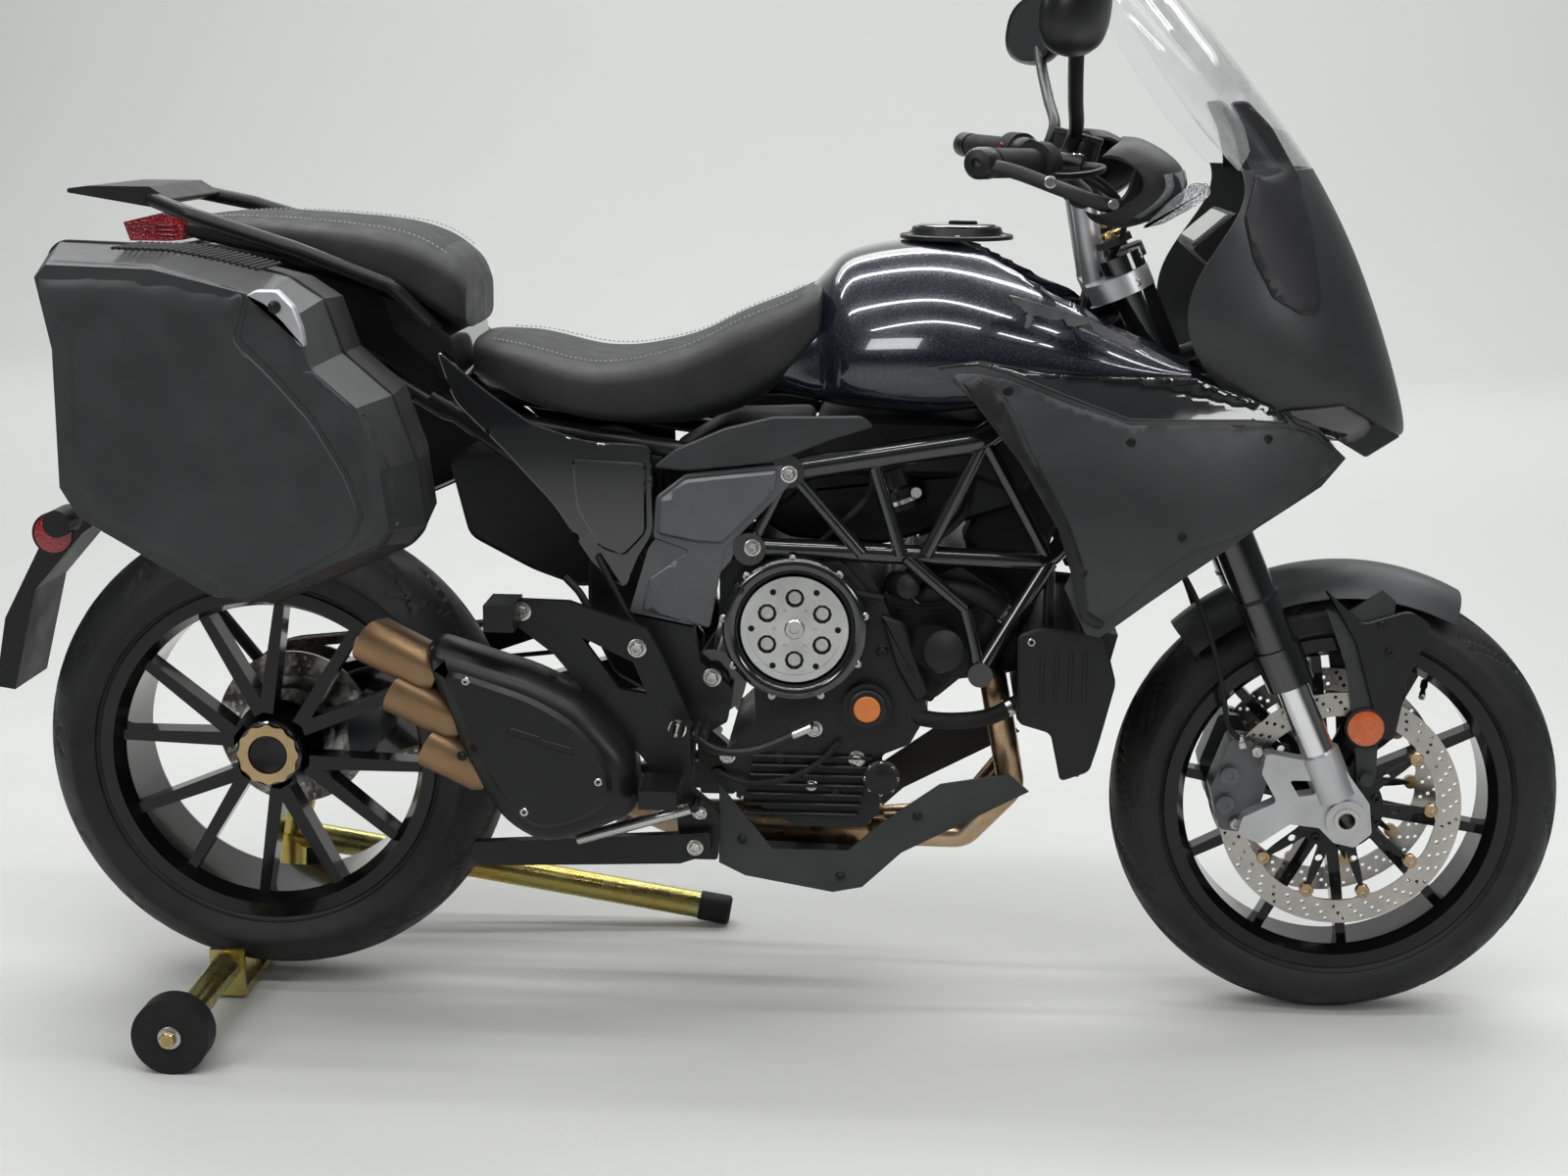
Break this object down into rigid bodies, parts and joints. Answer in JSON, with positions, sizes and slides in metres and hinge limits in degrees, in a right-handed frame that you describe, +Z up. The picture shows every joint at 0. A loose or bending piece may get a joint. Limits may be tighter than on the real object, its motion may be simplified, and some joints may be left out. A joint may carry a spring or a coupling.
{
  "type": "sport touring motorcycle",
  "caption": "Sport touring motorcycle with hard panniers, trellis frame and single-sided swingarm, parked on a rear paddock stand.",
  "frame": {"origin": "floor level under the middle of the machine's overall box", "axes": "+X forward, +Y to the rider's left, +Z up"},
  "size_m": [2.1248, 1.05, 1.41],
  "materials": {
    "bronze": "satin",
    "chain_steel": "satin",
    "chrome": "gloss",
    "clear_screen": "gloss",
    "engine_black": "satin",
    "gloss_black": "gloss",
    "grey_paint": "matte",
    "grip_rubber": "matte",
    "head_lens": "gloss",
    "heat_steel": "satin",
    "plastic": "matte",
    "red_lens": "gloss",
    "rubber": "satin",
    "satin_black": "satin",
    "seat_cover": "satin",
    "silver_cast": "satin",
    "steel": "satin",
    "zinc_yellow": "gloss"
  },
  "bodies": {
    "chassis": {"frame": "gloss_black", "side_plates": "silver_cast", "pivot_plates": "satin_black", "subframe": "satin_black", "crankcase": "engine_black", "clutch_plate": "steel", "cylinder_block": "engine_black", "radiator": "satin_black", "exhaust_headers": "heat_steel", "silencer": "satin_black", "exhaust_tips": "bronze", "belly_pan": "grey_paint", "fuel_tank": "gloss_black", "rider_seat": "seat_cover", "pillion_seat": "seat_cover", "tail_cowl": "gloss_black", "grab_rail": "satin_black", "tail_lamp": "red_lens", "side_fairings": "grey_paint", "nose_fairing": "grey_paint", "headlamp": "head_lens", "windscreen": "clear_screen", "dashboard": "plastic", "swingarm": "satin_black", "shock": "steel", "rear_caliper": "silver_cast", "chain": "chain_steel", "footrests": "satin_black", "plate_hanger": "plastic", "rear_lights": "plastic", "pannier_boxes": "plastic", "centre_stand_spring": "steel", "paddock_stand": "zinc_yellow"},
    "steering": {"front_axle_tube": "steel", "fork_feet": "silver_cast", "fork_inner": "chrome", "fork_outer": "gloss_black", "triple_clamps": "silver_cast", "handlebar": "satin_black", "grips": "grip_rubber", "handguards": "plastic", "mirrors": "plastic", "front_fender": "grey_paint", "front_calipers": "silver_cast"},
    "front_wheel": {"front_tyre": "rubber", "front_rim": "gloss_black", "front_discs": "steel", "disc_carriers": "satin_black"},
    "rear_wheel": {"rear_tyre": "rubber", "rear_rim": "gloss_black", "rear_axle_nut": "bronze", "rear_disc": "steel", "rear_sprocket": "steel"},
    "fuel_cap": {"fuel_cap": "satin_black"},
    "lid_right": {"pannier_lid_right": "grey_paint"},
    "lid_left": {"pannier_lid_left": "grey_paint"},
    "centre_stand": {"centre_stand": "satin_black"},
    "side_stand": {"side_stand": "satin_black"},
    "stand_wheel_right": {"stand_wheel_right": "grip_rubber"},
    "stand_wheel_left": {"stand_wheel_left": "grip_rubber"}
  },
  "joints": [
    {"name": "front_wheel_spin", "type": "hinge", "parent": "steering", "child": "front_wheel", "pos_m": [0.7625, 0, 0.3], "axis": [0, 1, 0], "continuous": true},
    {"name": "steering_turn", "type": "hinge", "parent": "chassis", "child": "steering", "pos_m": [0.4975, 0, 0.83889], "axis": [-0.4035, 0, 0.915], "range_deg": [-28, 28]},
    {"name": "rear_wheel_spin", "type": "hinge", "parent": "chassis", "child": "rear_wheel", "pos_m": [-0.6825, 0, 0.342], "axis": [0, 1, 0], "continuous": true},
    {"name": "centre_stand_swing", "type": "hinge", "parent": "chassis", "child": "centre_stand", "pos_m": [-0.087, 0, 0.264], "axis": [0, -1, 0], "range_deg": [0, 108], "deforming": ["centre_stand_spring"]},
    {"name": "side_stand_swing", "type": "hinge", "parent": "chassis", "child": "side_stand", "pos_m": [0.062, 0.19, 0.28], "axis": [0, -1, 0], "range_deg": [0, 100]},
    {"name": "lid_right_hinge", "type": "hinge", "parent": "chassis", "child": "lid_right", "pos_m": [-0.6, -0.338, 0.606], "axis": [1, 0, 0], "range_deg": [0, 80]},
    {"name": "lid_left_hinge", "type": "hinge", "parent": "chassis", "child": "lid_left", "pos_m": [-0.6, 0.338, 0.606], "axis": [-1, 0, 0], "range_deg": [0, 80]},
    {"name": "fuel_cap_hinge", "type": "hinge", "parent": "chassis", "child": "fuel_cap", "pos_m": [0.3, 0, 1.048], "axis": [0, 1, 0], "range_deg": [0, 95]},
    {"name": "stand_wheel_right_spin", "type": "hinge", "parent": "chassis", "child": "stand_wheel_right", "pos_m": [-0.741, -0.35, 0.05], "axis": [0, 1, 0], "continuous": true},
    {"name": "stand_wheel_left_spin", "type": "hinge", "parent": "chassis", "child": "stand_wheel_left", "pos_m": [-0.741, 0.3, 0.05], "axis": [0, 1, 0], "continuous": true}
  ]
}
